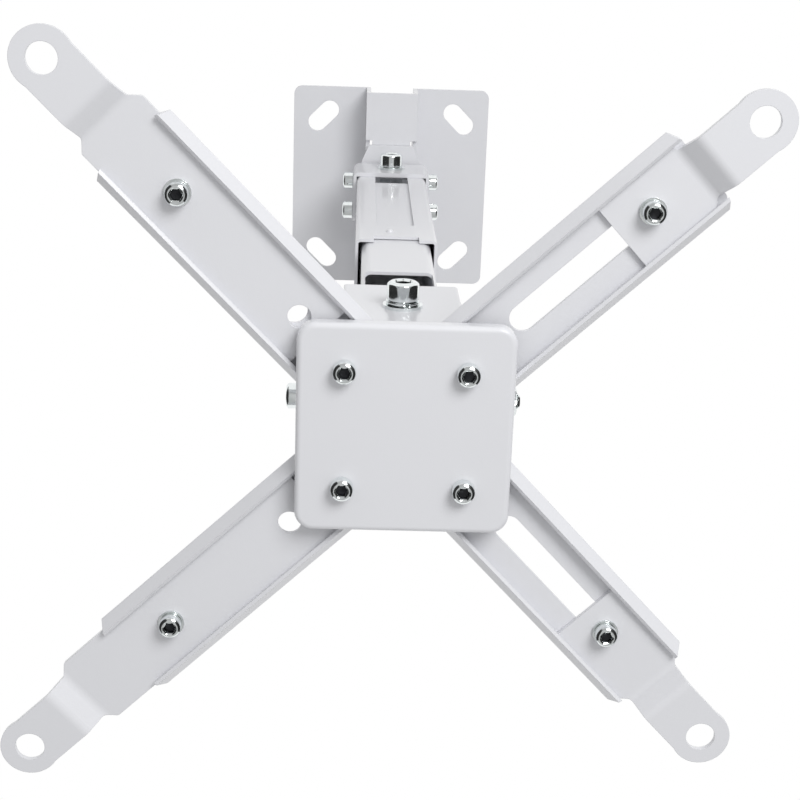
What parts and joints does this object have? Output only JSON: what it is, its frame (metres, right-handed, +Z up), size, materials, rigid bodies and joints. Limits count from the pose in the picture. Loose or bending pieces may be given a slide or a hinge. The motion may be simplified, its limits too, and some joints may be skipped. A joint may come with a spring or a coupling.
{
  "type": "projector ceiling mount",
  "caption": "Ceiling mount for a projector: slotted ceiling plate, telescopic column, tilting and swivelling hub and sliding arms with ear holes.",
  "frame": {"origin": "centre of the ceiling plate's upper face, in the plane that lies on the ceiling", "axes": "+Z up along the column to the ceiling, +X across the column, -Y to the side of the column with the two swivel bolts"},
  "size_m": [0.2871, 0.2884, 0.455],
  "materials": {
    "white_coat": "smooth white powder coat, semi-gloss",
    "zinc": "bright zinc-plated steel"
  },
  "bodies": {
    "ceiling": {"ceiling_plate": "white_coat", "ceiling_yoke": "white_coat", "tilt_screws": "zinc", "tilt_nuts": "zinc"},
    "column": {"upper_saddle": "white_coat", "outer_tube": "white_coat", "upper_bolt": "zinc", "upper_flat_washer": "zinc", "upper_bolt_nut": "zinc", "tube_screws": "zinc", "tube_nuts": "zinc", "height_lock_nut": "zinc", "height_lock_screw": "zinc"},
    "inner_column": {"inner_tube": "white_coat"},
    "swivel": {"lower_saddle": "white_coat", "lower_bolt": "zinc", "lower_spring_washer": "zinc", "lower_flat_washer": "zinc", "lower_bolt_nut": "zinc"},
    "hub": {"hub_back_plate": "white_coat", "hub_cap": "white_coat", "hub_screws": "zinc", "hub_nuts": "zinc", "hub_tilt_bolt": "zinc", "hub_tilt_nut": "zinc", "hub_tilt_washers": "zinc", "hub_tilt_sleeves": "zinc"},
    "left_rear_arm": {"left_rear_arm": "white_coat"},
    "left_rear_tab": {"left_rear_tab": "white_coat", "left_rear_clamp_screw": "zinc", "left_rear_clamp_washers": "zinc", "left_rear_clamp_nut": "zinc"},
    "right_rear_arm": {"right_rear_arm": "white_coat"},
    "right_rear_tab": {"right_rear_tab": "white_coat", "right_rear_clamp_screw": "zinc", "right_rear_clamp_washers": "zinc", "right_rear_clamp_nut": "zinc"},
    "right_front_arm": {"right_front_arm": "white_coat"},
    "right_front_tab": {"right_front_tab": "white_coat", "right_front_clamp_screw": "zinc", "right_front_clamp_washers": "zinc", "right_front_clamp_nut": "zinc"},
    "left_front_arm": {"left_front_arm": "white_coat"},
    "left_front_tab": {"left_front_tab": "white_coat", "left_front_clamp_screw": "zinc", "left_front_clamp_washers": "zinc", "left_front_clamp_nut": "zinc"}
  },
  "joints": [
    {"name": "column_tilt", "type": "hinge", "parent": "ceiling", "child": "column", "pos_m": [0, -0.01, -0.04], "axis": [1, 0, 0], "range_deg": [-15, 15]},
    {"name": "column_extend", "type": "slide", "parent": "column", "child": "inner_column", "axis": [0, 0, -1], "range_m": [-0.005, 0.12]},
    {"name": "hub_swivel", "type": "hinge", "parent": "inner_column", "child": "swivel", "pos_m": [0, 0, -0.374], "axis": [0, 1, 0], "range_deg": [-12, 12]},
    {"name": "hub_tilt", "type": "hinge", "parent": "swivel", "child": "hub", "pos_m": [0, 0.008, -0.414], "axis": [1, 0, 0], "range_deg": [-15, 15]},
    {"name": "left_rear_swing", "type": "hinge", "parent": "hub", "child": "left_rear_arm", "pos_m": [-0.0225, -0.0135, -0.441], "axis": [0, 0, 1], "range_deg": [-12, 12]},
    {"name": "left_rear_slide", "type": "slide", "parent": "left_rear_arm", "child": "left_rear_tab", "axis": [-0.7022, -0.712, 0], "range_m": [-0.008, 0.01]},
    {"name": "right_rear_swing", "type": "hinge", "parent": "hub", "child": "right_rear_arm", "pos_m": [0.0225, -0.0135, -0.441], "axis": [0, 0, 1], "range_deg": [-12, 12]},
    {"name": "right_rear_slide", "type": "slide", "parent": "right_rear_arm", "child": "right_rear_tab", "axis": [0.7302, -0.6833, 0], "range_m": [-0.045, 0.01]},
    {"name": "right_front_swing", "type": "hinge", "parent": "hub", "child": "right_front_arm", "pos_m": [0.0225, 0.0315, -0.441], "axis": [0, 0, 1], "range_deg": [-12, 12]},
    {"name": "right_front_slide", "type": "slide", "parent": "right_front_arm", "child": "right_front_tab", "axis": [0.6921, 0.7218, 0], "range_m": [-0.045, 0.01]},
    {"name": "left_front_swing", "type": "hinge", "parent": "hub", "child": "left_front_arm", "pos_m": [-0.0225, 0.0315, -0.441], "axis": [0, 0, 1], "range_deg": [-12, 12]},
    {"name": "left_front_slide", "type": "slide", "parent": "left_front_arm", "child": "left_front_tab", "axis": [-0.7266, 0.6871, 0], "range_m": [-0.008, 0.01]}
  ]
}
